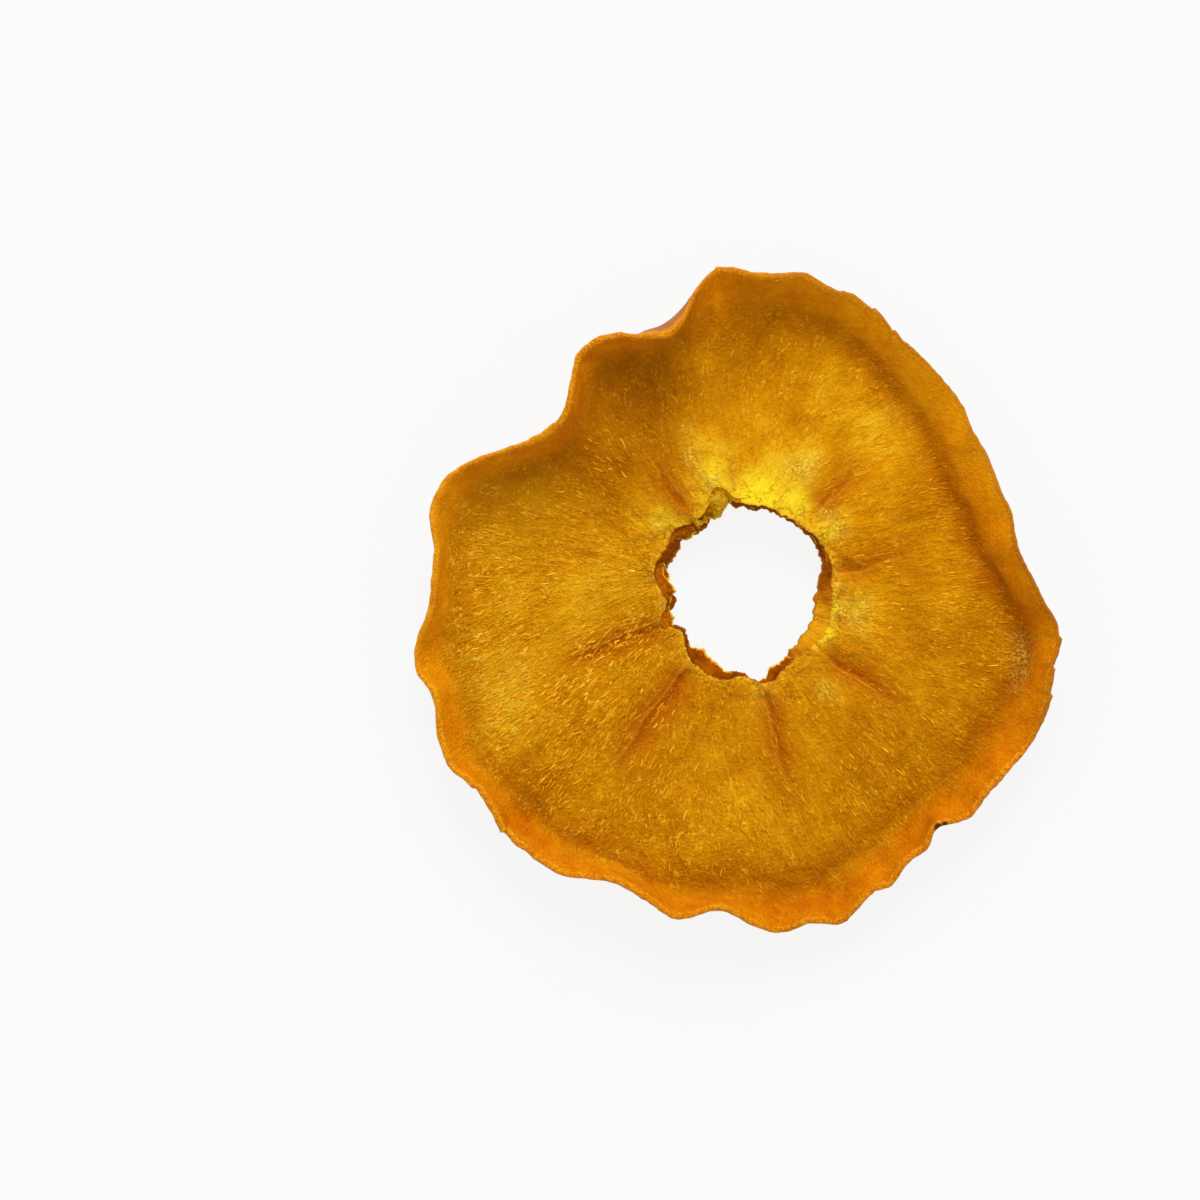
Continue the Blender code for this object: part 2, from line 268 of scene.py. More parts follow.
def grain(u, v, repeat, seed):
    """Gradient noise from about -1 to 1, one bump a unit, the same again after `repeat` units of u."""
    turn = np.random.default_rng(seed).uniform(0, 2 * np.pi, (repeat, NOISE_SPAN))
    column, row = np.floor(u).astype(int), np.floor(v).astype(int)
    across, along = u - column, v - row

    def corner(right, up):
        here = turn[(column + right) % repeat, (row + up) % NOISE_SPAN]
        return np.cos(here) * (across - right) + np.sin(here) * (along - up)

    def ease(t):
        return t**3 * (t * (6 * t - 15) + 10)

    near = corner(0, 0) + ease(along) * (corner(0, 1) - corner(0, 0))
    far = corner(1, 0) + ease(along) * (corner(1, 1) - corner(1, 0))
    return 1.5 * (near + ease(across) * (far - near))


def ring_grain(angle, along, *layers):
    """A sum of noises round the ring. Each layer has a strength, a number of bumps round the ring, their
    length the other way, and a seed."""
    return sum(
        strength * grain(np.mod(angle, 360) / 360 * cells, along / length + 64, cells, seed)
        for strength, cells, length, seed in layers
    )


def edge_grain(angle, *layers):
    """A sum of noises along an edge round the ring. Each layer has a strength, bumps and a seed."""
    return ring_grain(angle, 0 * angle, *((strength, cells, 1, seed) for strength, cells, seed in layers))


def in_plan(angle, radius):
    """The x and y of an angle and a radius about the core hole."""
    turn = np.radians(angle)
    return radius * np.cos(turn), radius * np.sin(turn)


def in_space(angle, radius, height):
    return np.stack((*in_plan(angle, radius), height), axis=-1)


def plan_grain(angle, radius, *layers):
    """A sum of noises in plan. Each layer has a strength, the size of its bumps, and a seed."""
    x, y = in_plan(angle, radius)
    return sum(
        strength * grain(x / size + PLAN_SHIFT[0], y / size + PLAN_SHIFT[1], NOISE_SPAN, seed)
        for strength, size, seed in layers
    )


def swirl(angle, radius):
    """How many degrees the fibres turn away from straight spokes.

    A fibre that leans from its spoke by a steady angle is a log spiral, so the turn is the tangent of
    the lean times the logarithm of the radius. A little noise makes the fibres wander.
    """
    spiral = np.degrees(np.tan(np.radians(around(FIBRE_LEAN, angle)))) * np.log(np.maximum(radius, 4) / 15)
    return ring_grain(angle, radius, (1.8, 24, 6, 3)) - spiral


def spots(places, angle, radius):
    """The strongest of the soft round spots at each plan place."""
    x, y = in_plan(angle, radius)
    strongest = np.zeros_like(x)
    for spot_x, spot_y, size, strength in places:
        spot = strength * np.exp(-((x - spot_x) ** 2 + (y - spot_y) ** 2) / size**2)
        strongest = np.maximum(strongest, spot)
    return strongest


def chambers(angle, radius, half_width, shift=0.0):
    """How deep the seed chambers are at each place: a soft trough along each spoke."""
    depth = np.zeros(np.broadcast(angle, radius).shape)
    for middle, inner, outer, deep in CHAMBERS:
        off = np.radians((angle - middle + 180) % 360 - 180)
        bend = ring_grain(angle * 0 + middle, radius, (0.35, 360, 3.5, 9)) + shift
        across = radius * np.sin(np.clip(off, -np.pi / 2, np.pi / 2)) + bend
        begun = smooth_step(inner - 1.5, inner + 1.5, radius)
        along = begun * (1 - smooth_step(outer - 6, outer + 1, radius))
        depth += deep * along * np.exp(-((across / half_width) ** 2))
    return depth


def foot_edge(angle):
    """The radius of the skin's foot."""
    return around(to_polar(FOOT), angle)


def hole_edge(angle):
    """The radius of the torn upper edge of the core hole."""
    return around(to_polar(HOLE), angle) + edge_grain(angle, (0.16, 70, 21), (0.09, 150, 22))


# From one saw tooth of the lip to the next, before noise shifts them.
TOOTH_ANGLE = 6


def lip_nicks(angle):
    """How far the lip's own raggedness moves it: fine noise, with saw teeth here and there."""
    tooth = np.mod(angle / TOOTH_ANGLE + edge_grain(angle, (0.7, 20, 33)), 1) - 0.5
    nicked = np.clip(edge_grain(angle, (2.5, 14, 34)), 0, 1)
    return edge_grain(angle, (0.08, 110, 31), (0.07, 240, 32)) + 0.32 * tooth * nicked


def flesh_line(angle, out):
    """Radius and height on top of the flesh, with out from 0 at the core hole to 1 at the skin's foot.

    It stands up round the hole by a cube that dies away outwards, rises outwards with the ring's own
    cup shape, and dips to a groove at the foot by a sixth power.
    """
    hole = hole_edge(angle)
    middle = around(MIDDLE_HEIGHT, angle)
    radius = hole + (foot_edge(angle) - hole) * out
    height = (
        middle
        + (around(HOLE_HEIGHT, angle) - middle) * (1 - out) ** 3
        + around(OUTWARD_RISE, angle) * out ** around(RISE_POWER, angle)
        - around(FOOT_DIP, angle) * out**6
    )
    return radius, height


def skin_line(angle, up):
    """Radius and height on the inner face of the skin, with up from 0 at its foot to 1 at its lip.

    The skin is as wide as SKIN_WIDTH, so it rises by what its width in plan leaves of that, and it
    bulges outwards by half a sine wave. The nicks of its lip die away by an eighth power.
    """
    foot = foot_edge(angle)
    width = around(to_polar(LIP), angle) - LIP_INSET - foot
    start = flesh_line(angle, np.ones_like(angle))[1]
    radius = foot + width * up + around(SKIN_BULGE, angle) * np.sin(np.pi * up) + lip_nicks(angle) * up**8
    return radius, start + np.sqrt(np.maximum(SKIN_WIDTH**2 - width**2, 1.0)) * up


def upper_line(angle, up, out, rounds):
    """The upper side of every section, from the lip in to the core hole, with the groove rounded off by
    rounds of averaging each point with its neighbours."""
    skin_radius, skin_height = skin_line(angle, up)
    flesh_radius, flesh_height = flesh_line(angle, out)
    radius, height = np.hstack((skin_radius, flesh_radius)), np.hstack((skin_height, flesh_height))
    for line in rounds * (radius, height):
        line[:, 1:-1] = (line[:, :-2] + 2 * line[:, 1:-1] + line[:, 2:]) / 4
    return radius, height


def square_off(radius, height):
    """The unit direction square to a section's line at each point, to the left as one goes along it."""
    along_r, along_z = np.diff(radius, axis=1), np.diff(height, axis=1)
    length = np.hypot(along_r, along_z)
    unit_r = np.pad(along_r / length, ((0, 0), (1, 1)), mode="edge")
    unit_z = np.pad(along_z / length, ((0, 0), (1, 1)), mode="edge")
    turn_r, turn_z = unit_r[:, :-1] + unit_r[:, 1:], unit_z[:, :-1] + unit_z[:, 1:]
    turn = np.hypot(turn_r, turn_z)
    return -turn_z / turn, turn_r / turn


def spaced(count, first, last, ease=0.4):
    """Numbers from first to last, a little closer together at both ends."""
    t = np.linspace(0, 1, count)
    t = (1 - ease) * t + ease * (1 - np.cos(np.pi * t)) / 2
    return first + (last - first) * t


def fibre_relief(angle, radius):
    """The raised fibres on the flesh: long ridges and short ones, along the leaning spokes."""
    turned = angle + swirl(angle, radius)
    return ring_grain(turned, radius, (0.045, 120, 5, 41), (0.035, 230, 1.6, 42))


def by_hole(angle, radius, reach):
    """1 at the torn edge of the core hole, dying away outwards over the reach."""
    return np.exp(-np.maximum(radius - hole_edge(angle), 0) / reach)


def pleats(angle, radius):
    """Soft folds that run out from the torn edge of the hole and die away."""
    turned = angle + swirl(angle, radius)
    return ring_grain(turned, radius, (0.36, 22, 6, 44)) * by_hole(angle, radius, 4)


def crumple(angle, radius):
    """Sharp folds, as of crumpled paper, where the flesh is thinnest by the hole: the noise's own size
    without its sign makes a crest wherever the noise passes through 0."""
    broad, fine = plan_grain(angle, radius, (1, 2.6, 55)), plan_grain(angle, radius, (0.5, 1.3, 56))
    return -0.6 * (np.abs(broad) + np.abs(fine)) * by_hole(angle, radius, 3.6)


def flesh_swell(angle, radius):
    """The broad unevenness of the dried flesh."""
    return plan_grain(angle, radius, (0.24, 8, 51), (0.11, 3.4, 52))


def flesh_relief(angle, radius):
    """How far the flesh stands proud of its plain shape: fibres, grain, folds, and chambers with a
    crease along the middle and a raised thread beside it."""
    near = by_hole(angle, radius, 2.0)
    by_skin = smooth_step(-4.0, -0.5, radius - foot_edge(angle))
    return (
        (1 - 0.7 * near) * (1 - 0.6 * by_skin) * fibre_relief(angle, radius)
        + pleats(angle, radius)
        + crumple(angle, radius)
        + plan_grain(angle, radius, (0.035 + 0.1 * near, 0.9, 53), (0.025 + 0.05 * near, 0.5, 54))
        - 0.85 * chambers(angle, radius, CHAMBER_HALF_WIDTH)
        - 0.2 * chambers(angle, radius, CREASE_HALF_WIDTH)
        + 0.15 * chambers(angle, radius, THREAD_HALF_WIDTH, THREAD_ASIDE)
    )


def flesh_top(angle, radius):
    """The height of the flesh at a place in plan, with its relief."""
    hole, foot = hole_edge(angle), foot_edge(angle)
    out = np.clip((radius - hole) / (foot - hole), 0, 1)
    return flesh_line(angle, out)[1] + flesh_swell(angle, radius) + flesh_relief(angle, radius)


def slice_surface():
    """The whole closed surface as a grid: angle round the ring by place along the section, which runs
    from the lip over the skin and the flesh to the hole, down its wall and back along the underside.

    Returns the points and the masks that the material reads.
    """
    angle = (np.arange(AROUND) * 360 / AROUND)[:, None]
    up = spaced(SKIN_POINTS, 1, 0.04)[None, :] + 0 * angle
    out = spaced(FLESH_POINTS, 1, 0)[None, :] + 0 * angle
    radius, height = upper_line(angle, up, out, UPPER_ROUNDS)
    side_r, side_z = square_off(radius, height)
    feather = plan_grain(angle, radius[:, :SKIN_POINTS], (0.22, 1.6, 63), (0.07, 0.7, 65))
    on_skin = np.hstack((smooth_step(-0.02, 0.55, up + feather * (1 - up)), 0 * out))

    low_up = spaced(UNDER_SKIN_POINTS, 1, 0.06)[None, :] + 0 * angle
    low_out = spaced(UNDER_FLESH_POINTS, 1, 0, 0.2)[None, :] + 0 * angle
    low_radius, low_height = upper_line(angle, low_up, low_out, UNDER_ROUNDS)
    low_side_r, low_side_z = square_off(low_radius, low_height)
    thick = np.hstack((
        FOOT_THICKNESS + (LIP_THICKNESS - FOOT_THICKNESS) * low_up,
        np.interp(low_out, (0, 0.5, 1), (HOLE_THICKNESS, FLESH_THICKNESS, FOOT_THICKNESS)),
    ))
    swell = flesh_swell(angle, low_radius)
    bumps = plan_grain(angle, low_radius, (0.06, 1.6, 71)) + 0.6 * fibre_relief(angle, low_radius)
    low_skin = np.hstack((smooth_step(-0.1, 0.3, low_up), 0 * low_out))
    low_outside = low_skin * np.hstack((1 - smooth_step(0.9, 1.0, low_up), 0 * low_out))
    wrinkles = ring_grain(angle, low_height, (0.1, 96, 3, 72), (0.04, 230, 1.2, 73))
    push = thick + bumps * (1 - low_skin) + wrinkles * low_skin
    low_radius = low_radius + push * low_side_r
    low_height = low_height + push * low_side_z + swell

    inset = around(HOLE_FOOT_INSET, angle) + edge_grain(angle, (0.22, 46, 81), (0.1, 120, 82))
    low_radius[:, -1:] = hole_edge(angle) - np.maximum(inset, 0.05)
    low_height[:, -1:] = height[:, -1:] - HOLE_THICKNESS + swell[:, -1:]
    low_height = np.maximum(low_height, 0)

    skin_relief = ring_grain(angle, radius, (0.07, 80, 4, 61)) + plan_grain(angle, radius, (0.03, 1.1, 62))
    flesh = 1 - on_skin
    relief = flesh_relief(angle, radius) * flesh + skin_relief * on_skin
    foot_gap = (1 - np.hstack((1 + 0.25 * up, out))) * (foot_edge(angle) - hole_edge(angle))
    uneven_gap = foot_gap + plan_grain(angle, radius, (0.5, 2, 64))
    # Painted shade in the groove along the skin's foot.
    foot_shade = around(FOOT_SHADE_TONE, angle) * np.exp(-((uneven_gap / 2.1) ** 2))
    wander = plan_grain(angle, radius, (0.8, 5, 66), (0.2, 1.2, 67)) - 0.1
    fold = around(FOLD, angle) * np.exp(-((foot_gap + wander) / 0.48) ** 2)
    relief = relief - 0.26 * fold

    def groove(*shape):
        return np.clip(chambers(angle, radius, *shape) / 0.4, 0, 1) * flesh

    upper_masks = {
        "skin": on_skin,
        "outside": 0 * radius,
        "chamber": groove(1.7),
        "crease": groove(CREASE_HALF_WIDTH),
        "thread": groove(THREAD_HALF_WIDTH, THREAD_ASIDE),
        "torn_edge": by_hole(angle, radius, 0.45) * flesh,
        # The glow, the shades, the shade along the skin's foot, the fold, the lip's fold shadow and the
        # shade at the lip paint light and shade into the colour.
        "glow": spots(GLOWS, angle, radius) * flesh,
        "shade": spots(SHADES, angle, radius),
        "foot_shade": foot_shade,
        "fold": fold,
        "lip_fold_shadow": spots(LIP_FOLD_SHADOWS, angle, radius),
        "near": by_hole(angle, radius, 3.2) * flesh,
        "bloom": spots(BLOOMS, angle, radius),
        "lip": np.hstack((smooth_step(0.965, 1.0, up), 0 * out)),
        "lip_shade": np.hstack((0.35 * smooth_step(0.93, 1.0, up), 0 * out)) * around(LIP_SHADE_TONE, angle),
    }
    height = height + flesh_swell(angle, radius) - relief * side_z
    radius = radius - relief * side_r

    steps = (np.arange(1, WALL_POINTS + 1) / (WALL_POINTS + 1))[None, :]
    torn = ring_grain(angle, 3 * steps, (0.25, 40, 1.6, 83)) * np.sin(np.pi * steps)
    wall_radius = radius[:, -1:] + (low_radius[:, -1:] - radius[:, -1:]) * steps + torn
    wall_height = height[:, -1:] + (low_height[:, -1:] - height[:, -1:]) * steps

    middle_r, middle_z = (radius[:, :1] + low_radius[:, :1]) / 2, (height[:, :1] + low_height[:, :1]) / 2
    across_r, across_z = radius[:, :1] - middle_r, height[:, :1] - middle_z
    bend = np.radians(np.array((50, 0, -50)))[None, :]
    tip_radius = middle_r - across_r * np.sin(bend) + across_z * np.cos(bend)
    tip_height = middle_z - across_z * np.sin(bend) - across_r * np.cos(bend)

    def section(tip, upper, wall, lower):
        return np.hstack((tip, upper, wall, lower[:, ::-1]))

    def mask_section(tip, upper, wall, lower):
        return section(0 * tip_radius + tip, upper, 0 * wall_radius + wall, 0 * low_radius + lower)

    all_radius = section(tip_radius, radius, wall_radius, low_radius)
    all_height = section(tip_height, height, wall_height, low_height)
    low_tip = {
        "skin": (1, 0, low_skin), "outside": (0, 0, low_outside), "lip": (1, 0, 0),
        "lip_fold_shadow": (spots(LIP_FOLD_SHADOWS, angle, tip_radius), 0, 0), "lip_shade": (around(LIP_SHADE_TONE, angle), 0, 0),
    }
    masks = {}
    for name, upper in upper_masks.items():
        tip, wall, lower = low_tip.get(name, (0, 0, 0))
        masks[name] = mask_section(tip, upper, wall, lower)
    masks["wall"] = mask_section(0, 0 * radius, 1, 0)
    for name, table in (("wall_light_and_shade", WALL_LIGHT_AND_SHADE), ("skin_light_and_shade", SKIN_LIGHT_AND_SHADE), ("sheen", SHEEN)):
        masks[name] = around(table, angle) + 0 * all_radius
    masks["swirl"] = np.radians(swirl(angle, all_radius))
    return in_space(angle, all_radius, all_height), masks


def grid_faces(rows, columns, closed=False):
    """The quads of a grid whose every row closes on itself, and its columns too where closed."""
    row, column = np.meshgrid(np.arange(rows if closed else rows - 1), np.arange(columns), indexing="ij")
    next_row, next_column = (row + 1) % rows, (column + 1) % columns
    corners = (row * columns + column, next_row * columns + column,
               next_row * columns + next_column, row * columns + next_column)
    return np.stack(corners, axis=-1).reshape(-1, 4)


SPINDLE_CORNERS = 4


def spindle_faces(count, rings):
    """The faces of `count` spindles, each of `rings` rings of corners and then its two tips."""
    size = rings * SPINDLE_CORNERS + 2
    start = (np.arange(count) * size)[:, None, None]
    quads = start + grid_faces(rings, SPINDLE_CORNERS)
    corner = np.arange(SPINDLE_CORNERS)
    after = (corner + 1) % SPINDLE_CORNERS
    last = (rings - 1) * SPINDLE_CORNERS
    heads = start + np.stack((0 * corner + size - 2, corner, after), axis=-1)
    tails = start + np.stack((last + corner, 0 * corner + size - 1, last + after), axis=-1)
    return quads.reshape(-1, 4).tolist() + heads.reshape(-1, 3).tolist() + tails.reshape(-1, 3).tolist()


def spindles(angle, radius, length, width, lean, bow, rings):
    """Slender closed spindles that lie half sunk in the flesh.

    Each follows s*cos(lean) outwards and s*sin(lean) + bow*(1 - 4t^2) sideways, with s from minus to
    plus half its length and t = s / length. Its half width is width/2 * sqrt(1 - 4t^2), and it lies
    on the flesh's height there.
    """
    t = np.linspace(-0.5, 0.5, rings + 2)[None, :]
    run = t * length[:, None]
    lean = np.radians(lean)[:, None]
    aside = bow[:, None] * (1 - 4 * t**2)
    path_radius = radius[:, None] + run * np.cos(lean) - aside * np.sin(lean)
    path_angle = angle[:, None] + np.degrees((run * np.sin(lean) + aside * np.cos(lean)) / radius[:, None])
    path = in_space(path_angle, path_radius, flesh_top(path_angle, path_radius) + 0.1 * width[:, None])
    ahead = np.gradient(path, axis=1)
    ahead /= np.linalg.norm(ahead, axis=-1, keepdims=True)
    side = np.cross(ahead, (0.0, 0.0, 1.0))
    side /= np.linalg.norm(side, axis=-1, keepdims=True)
    over = np.cross(side, ahead)
    half = (width[:, None] / 2 * np.sqrt(np.maximum(1 - 4 * t**2, 0)))[:, 1:-1, None, None]
    round_it = np.radians(np.arange(SPINDLE_CORNERS) * 360 / SPINDLE_CORNERS)[None, None, :, None]
    ring = side[:, 1:-1, None] * np.cos(round_it) + 0.6 * over[:, 1:-1, None] * np.sin(round_it)
    body = (path[:, 1:-1, None] + half * ring).reshape(len(angle), -1, 3)
    points = np.concatenate((body, path[:, :1], path[:, -1:]), axis=1)
    return points.reshape(-1, 3), spindle_faces(len(angle), rings)


# How thick on the ground the loose fibres are, by angle.
FIBRE_CROWD = (
    (0, 0.35), (30, 0.2), (60, 0.3), (90, 0.25), (120, 0.15), (145, 0.4), (165, 1.1), (190, 2),
    (210, 1.8), (240, 0.75), (280, 0.5), (310, 0.35), (335, 0.45),
)
# Long threads that stand out: (angle, radius, length, lean).
THREADS = (
    (262, 28.4, 2.6, 84), (268, 28.6, 3.4, 95), (186, 26, 4, 30), (352, 19, 2.4, -40),
    (343, 20.5, 3, -35), (8, 20, 2.6, 12), (33, 26.6, 1.8, 60), (214, 20.5, 2, 20),
    (226, 24, 3.6, 70), (300, 13, 2.4, 30), (68, 16, 2.2, -10), (80, 15.5, 2, 4),
)
FIBRES = 2300
FIBRE_RINGS = 4
THREAD_RINGS = 14


def fibre_piece(material):
    """Loose fibres on the flesh, thicker on the ground in some patches, with a few longer threads."""
    draw = np.random.default_rng(11)
    tries = 4 * FIBRES
    angle = draw.uniform(0, 360, tries)
    out = np.sqrt(draw.uniform(0.002, 0.93, tries))
    hole, foot = hole_edge(angle), foot_edge(angle)
    radius = hole + (foot - hole) * out
    crowd = 0.45 + plan_grain(angle, radius, (1.1, 5, 12)) - 0.5 * spots(SHADES, angle, radius)
    crowd = crowd * around(FIBRE_CROWD, angle) * (1 - 0.7 * by_hole(angle, radius, 2.5))
    keep = np.flatnonzero(draw.uniform(0, 1, tries) < crowd)[:FIBRES]
    angle, radius = angle[keep], radius[keep]
    count = len(angle)
    length = 0.35 + 1.9 * draw.beta(1.3, 4.5, count)
    width = draw.uniform(0.08, 0.18, count)
    lean = around(FIBRE_LEAN, angle) + draw.normal(0, 12, count)
    bow = draw.normal(0, 0.09, count) * length
    # Fibres are painted paler where the glow and the sheen are: painted highlights.
    pale = draw.beta(0.7, 2.8, count) + 0.15 * spots(GLOWS, angle, radius)
    pale = np.clip(pale + 0.32 * (around(SHEEN, angle) - 0.5), 0, 1)
    short, short_faces = spindles(angle, radius, length, width, lean, bow, FIBRE_RINGS)

    middle, inner, outer, _ = np.array(CHAMBERS).T
    angle = middle + draw.normal(0, 2.0, len(middle))
    radius = (inner + outer) / 2 + draw.uniform(-2.0, 2.0, len(angle))
    length = draw.uniform(1.5, 3.5, len(angle))
    lean = draw.normal(0, 4, len(angle))
    angle, radius, length, lean = np.hstack(((angle, radius, length, lean), np.array(THREADS, float).T))
    long, long_faces = spindles(
        angle, radius, length, draw.uniform(0.08, 0.13, len(angle)), lean,
        draw.normal(0, 0.05, len(angle)) * length, THREAD_RINGS,
    )
    long_faces = [[corner + len(short) for corner in face] for face in long_faces]
    piece = make_piece("fibres", np.vstack((short, long)), short_faces + long_faces, material)
    size = FIBRE_RINGS * SPINDLE_CORNERS + 2
    store_masks(piece, {"pale": np.concatenate((np.repeat(pale, size), np.full(len(long), 0.25)))})
    return piece


SHRED_STEPS = 90
SHRED_RUN = 12
SHRED_THICKNESS = 0.1


def shred_piece(material):
    """The torn membranes in the core hole.

    Each is a thin sheet whose section starts in the wall and runs inwards to the torn edge and down by
    sag*t^2, with t from 0 to 1. It tapers to nothing at its two ends, and its hem is ragged.
    """
    all_points, all_faces, tip, olive_mask = [], [], [], []
    for number, (first, last, drop, sag, olive) in enumerate(SHREDS):
        share = np.linspace(0, 1, SHRED_STEPS)[:, None]
        angle = first + (last - first) * share
        ragged = edge_grain(
            angle, (0.5, 36, 91 + number), (0.22, 100, 191 + number), (0.12, 220, 391 + number)
        )
        t = np.linspace(0, 1, SHRED_RUN)[None, :]
        root = hole_edge(angle) + 0.35 - around(HOLE_FOOT_INSET, angle) * drop / HOLE_THICKNESS
        reach = np.maximum(root - around(to_polar(TORN_EDGE), angle) + ragged, 0.3)
        reach = reach * np.sin(np.pi * share) ** 0.4 + 0.02
        ruffle = (0.2 + 0.45 * olive) * t * ring_grain(
            angle, reach * t * 3, (1, 90, 1.4, 291 + number), (0.4, 200, 0.6, 491 + number)
        )
        radius = root - reach * t
        height = flesh_line(angle, 0 * angle)[1] - drop - sag * t**2 + ruffle
        half = SHRED_THICKNESS / 2 * (1.2 - 0.7 * t) + 0 * radius
        loop_radius = np.hstack((radius, radius[:, ::-1]))
        loop_height = np.hstack((height + half, height[:, ::-1] - half[:, ::-1]))
        loop = 2 * SHRED_RUN
        start = sum(len(part) for part in all_points)
        ends = np.stack((np.arange(loop), SHRED_STEPS * loop - 1 - np.arange(loop)))
        all_faces += (grid_faces(SHRED_STEPS, loop) + start).tolist() + (ends + start).tolist()
        all_points.append(in_space(angle, loop_radius, loop_height).reshape(-1, 3))
        loop_t = np.hstack((t, t[:, ::-1])) + 0 * angle
        tip.append(loop_t.ravel())
        olive_mask.append(np.full(loop_t.size, olive))
    piece = make_piece("membranes", np.vstack(all_points), all_faces, material)
    store_masks(piece, {"hem": np.concatenate(tip), "olive": np.concatenate(olive_mask)})
    return piece


CRUMBS = 150
CRUMB_FACES = (
    (0, 1, 2), (0, 2, 3), (0, 3, 4), (0, 4, 5), (0, 5, 1), (1, 6, 2), (2, 7, 3), (3, 8, 4), (4, 9, 5),
    (5, 10, 1), (2, 6, 7), (3, 7, 8), (4, 8, 9), (5, 9, 10), (1, 10, 6), (6, 11, 7), (7, 11, 8),
    (8, 11, 9), (9, 11, 10), (10, 11, 6),
)


def crumb_shape():
    """The corners of a ball of twenty faces: two poles and two belts of five, turned by half a step."""
    belt = np.radians(np.arange(5) * 72)
    high, level = 1 / np.sqrt(5), 2 / np.sqrt(5)
    upper = np.stack((level * np.cos(belt), level * np.sin(belt), np.full(5, high)), axis=1)
    belt = belt + np.radians(36)
    lower = np.stack((level * np.cos(belt), level * np.sin(belt), np.full(5, -high)), axis=1)
    return np.vstack(((0, 0, 1), upper, lower, (0, 0, -1)))


def crumb_piece(material):
    """Dry crumbs: two thirds along the lip of the skin, the others on the flesh."""
    draw = np.random.default_rng(23)
    angle = draw.uniform(0, 360, (CRUMBS, 1))
    up = 1 - 0.8 * draw.uniform(0, 1, (CRUMBS, 1)) ** 2
    radius, height = skin_line(angle, up)
    height = height + flesh_swell(angle, radius)
    on_flesh = np.arange(CRUMBS)[:, None] % 3 == 0
    width = foot_edge(angle) - hole_edge(angle)
    flesh_radius = hole_edge(angle) + width * draw.uniform(0.03, 0.97, angle.shape)
    radius = np.where(on_flesh, flesh_radius, radius)
    height = np.where(on_flesh, flesh_top(angle, flesh_radius), height)
    middle = in_space(angle, radius, height)
    size = draw.uniform(0.05, 0.12, (CRUMBS, 1, 1)) * (1 - 0.3 * on_flesh[:, :, None])
    corners = crumb_shape()[None] * draw.uniform(0.6, 1.35, (CRUMBS, 12, 1))
    corners = corners * draw.uniform(0.6, 1.3, (CRUMBS, 1, 3))
    faces = (np.array(CRUMB_FACES)[None] + (np.arange(CRUMBS) * 12)[:, None, None]).reshape(-1, 3)
    piece = make_piece("crumbs", middle + size * corners, faces.tolist(), material)
    store_masks(piece, {"pale": np.repeat(draw.uniform(0.2, 1, CRUMBS), 12)})
    return piece


def make_piece(name, points, faces, material):
    """A smooth-shaded object from points in millimetres about the core hole."""
    mesh = bpy.data.meshes.new(name)
    mesh.from_pydata(((points.reshape(-1, 3) + CORE) * MM).tolist(), [], faces)
    mesh.shade_smooth()
    mesh.materials.append(material)
    piece = bpy.data.objects.new(name, mesh)
    bpy.context.scene.collection.objects.link(piece)
    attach(piece, "root")
    return piece


def store_masks(piece, masks):
    for name, values in masks.items():
        attribute = piece.data.attributes.new(name, "FLOAT", "POINT")
        attribute.data.foreach_set("value", values.astype(np.float32).ravel())


# Shader nodes.
def paint(red, green, blue):
    """A colour from 0 to 255 in screen values, as the shader takes it."""
    screen = np.array((red, green, blue)) / 255
    linear = np.where(screen <= 0.04045, screen / 12.92, ((screen + 0.055) / 1.055) ** 2.4)
    return (*linear.tolist(), 1.0)


def plug(tree, socket, value):
    """Put a value on a socket, or link an output to it. A name stands for the mask of that name."""
    if isinstance(value, str):
        mask = tree.nodes.new("ShaderNodeAttribute")
        mask.attribute_name = value
        value = mask.outputs["Fac"]
    if isinstance(value, bpy.types.NodeSocket):
        tree.links.new(value, socket)
    else:
        socket.default_value = value


def plug_all(tree, node, values):
    """Put values on the inputs that they are named for."""
    for label, value in values.items():
        plug(tree, node.inputs[label], value)
    return node


def new_node(tree, kind, values):
    return plug_all(tree, tree.nodes.new(kind), values)


def calc(tree, operation, *values):
    node = tree.nodes.new("ShaderNodeMath")
    node.operation = operation
    for socket, value in zip(node.inputs, values):
        plug(tree, socket, value)
    return node.outputs[0]


def times(tree, left, right):
    return calc(tree, "MULTIPLY", left, right)


def weigh(tree, start, *shares):
    """The start value plus each value times its weight."""
    total = start
    for value, weight in shares:
        total = calc(tree, "MULTIPLY_ADD", value, weight, total)
    return total


def mix(tree, factor, low, high):
    """A colour from low to high as factor goes from 0 to 1."""
    node = tree.nodes.new("ShaderNodeMix")
    node.data_type = "RGBA"
    plug(tree, node.inputs[0], factor)
    plug(tree, node.inputs[6], low)
    plug(tree, node.inputs[7], high)
    return node.outputs[2]


def blend(tree, factor, low, high):
    """A number from low to high as factor goes from 0 to 1."""
    return calc(tree, "MULTIPLY_ADD", factor, calc(tree, "SUBTRACT", high, low), low)


def rise(tree, value, low, high):
    """Goes smoothly from 0 to 1 as value goes from low to high."""
    node = new_node(tree, "ShaderNodeMapRange", {"Value": value, "From Min": low, "From Max": high})
    node.interpolation_type = "SMOOTHSTEP"
    return node.outputs["Result"]


def coat(tree, colour, *layers):
    """The colour with layers laid over it in turn, each with its mask, its strength and its own colour."""
    for cover, strength, tint in layers:
        tint = paint(*tint) if isinstance(tint, tuple) else tint
        colour = mix(tree, times(tree, cover, strength), colour, tint)
    return colour


